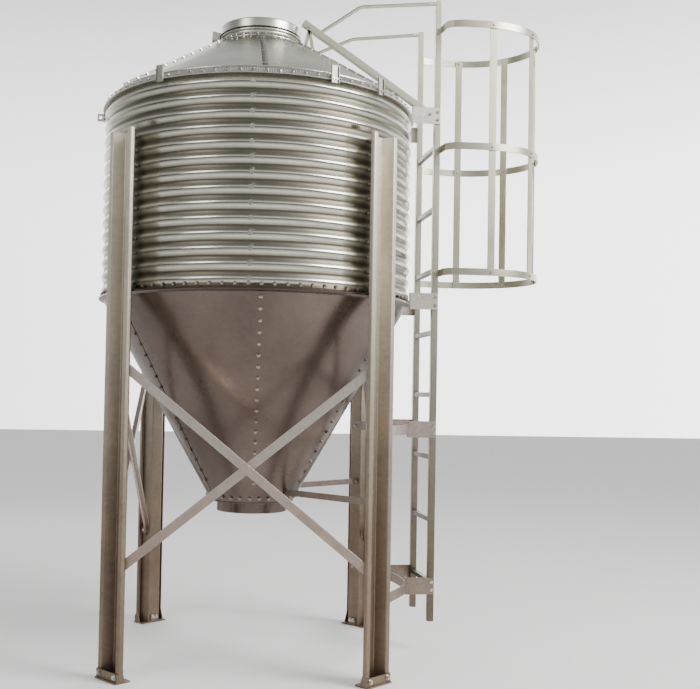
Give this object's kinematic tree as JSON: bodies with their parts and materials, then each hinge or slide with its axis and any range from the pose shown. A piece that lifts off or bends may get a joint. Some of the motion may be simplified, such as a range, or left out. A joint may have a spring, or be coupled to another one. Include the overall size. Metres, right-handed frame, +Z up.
{
  "type": "grain silo",
  "caption": "Small hopper-bottom grain silo: corrugated drum on braced posts, low roof cone with a hinged lid, side ladder with a back cage.",
  "frame": {"origin": "centre of the footprint of the whole assembly, at floor level", "axes": "+Z up, +X from the drum towards the ladder and its cage, the drum axis on y = 0"},
  "size_m": [2.3252, 1.574, 3.344],
  "materials": {
    "galvanized_sheet": "bright galvanized sheet",
    "zinc_steel": "mottled zinc-coated steel",
    "galvanized_bar": "clean light grey zinc"
  },
  "bodies": {
    "structure": {"bin_body": "galvanized_sheet", "brace_front_falling": "galvanized_bar", "brace_front_rising": "galvanized_bar", "brace_left_falling": "galvanized_bar", "brace_left_rising": "galvanized_bar", "brace_right_falling": "galvanized_bar", "brace_right_rising": "galvanized_bar", "cage_hoop_bottom": "galvanized_bar", "cage_hoop_middle": "galvanized_bar", "cage_hoop_top": "galvanized_bar", "cage_strap_1": "galvanized_bar", "cage_strap_2": "galvanized_bar", "cage_strap_3": "galvanized_bar", "cage_strap_4": "galvanized_bar", "cage_strap_5": "galvanized_bar", "eave_ring": "galvanized_sheet", "filler_neck": "zinc_steel", "foot_front_left": "zinc_steel", "foot_front_right": "zinc_steel", "foot_rear_left": "zinc_steel", "foot_rear_right": "zinc_steel", "hopper_cone": "galvanized_sheet", "ladder_plate_eave_far": "zinc_steel", "ladder_plate_eave_near": "zinc_steel", "ladder_plate_flange_far": "zinc_steel", "ladder_plate_flange_near": "zinc_steel", "ladder_plate_low_far": "zinc_steel", "ladder_plate_low_near": "zinc_steel", "ladder_plate_middle_far": "zinc_steel", "ladder_plate_middle_near": "zinc_steel", "ladder_rung_1": "galvanized_bar", "ladder_rung_2": "galvanized_bar", "ladder_rung_3": "galvanized_bar", "ladder_rung_4": "galvanized_bar", "ladder_rung_5": "galvanized_bar", "ladder_rung_6": "galvanized_bar", "ladder_rung_7": "galvanized_bar", "ladder_rung_8": "galvanized_bar", "ladder_strap_low": "zinc_steel", "ladder_strap_middle": "zinc_steel", "ladder_stringer_far": "galvanized_bar", "ladder_stringer_near": "galvanized_bar", "lid_hinge_bracket": "zinc_steel", "lifting_lug": "zinc_steel", "outlet_collar": "zinc_steel", "outlet_stay_front_right": "zinc_steel", "outlet_stay_rear_right": "zinc_steel", "post_front_left": "zinc_steel", "post_front_right": "zinc_steel", "post_rear_left": "zinc_steel", "post_rear_right": "zinc_steel", "roof_cone": "galvanized_sheet", "roof_rail_far": "galvanized_bar", "roof_rail_near": "galvanized_bar"},
    "lid": {"lid": "galvanized_sheet"}
  },
  "joints": [
    {"name": "lid_hinge", "type": "hinge", "parent": "structure", "child": "lid", "pos_m": [-0.58635, 0, 3.122], "axis": [0, -1, 0], "range_deg": [0, 105]}
  ]
}
